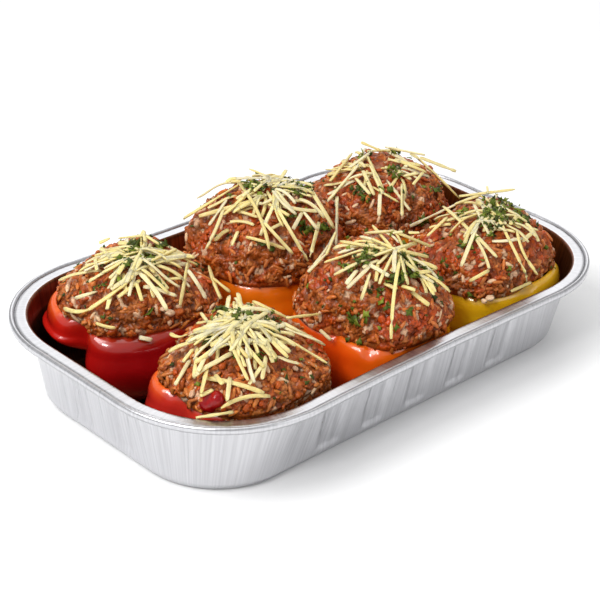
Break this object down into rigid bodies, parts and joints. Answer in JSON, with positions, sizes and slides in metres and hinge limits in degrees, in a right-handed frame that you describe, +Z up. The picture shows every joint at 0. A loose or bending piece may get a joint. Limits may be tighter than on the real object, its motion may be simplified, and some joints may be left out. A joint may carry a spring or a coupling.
{
  "type": "foil tray meal",
  "caption": "Oblong foil tray holding hollowed pepper halves, each heaped with rice and mince and topped with shredded cheese and chopped herbs.",
  "frame": {"origin": "centre of the tray's underside, on the surface it rests on", "axes": "+X along the tray's long side, +Y across it, +Z up"},
  "size_m": [0.3182, 0.199, 0.0897],
  "materials": {
    "foil": "satin drawn foil, lacquered copper-brown inside",
    "red_pepper": "glossy wet skin, orange-red cut flesh",
    "orange_pepper": "glossy skin",
    "yellow_pepper": "glossy skin",
    "filling": "moist brown-red mince and rice with pale yellow cheese shreds and green herbs",
    "cooked_pepper": "glossy wet"
  },
  "bodies": {
    "root": {"tray": "foil", "pepper_1": "red_pepper", "pepper_2": "orange_pepper", "pepper_3": "orange_pepper", "pepper_4": "red_pepper", "pepper_5": "orange_pepper", "pepper_6": "yellow_pepper", "filling_1": "filling", "filling_2": "filling", "filling_3": "filling", "filling_4": "filling", "filling_5": "filling", "filling_6": "filling", "pepper_chunk": "cooked_pepper"}
  },
  "joints": []
}
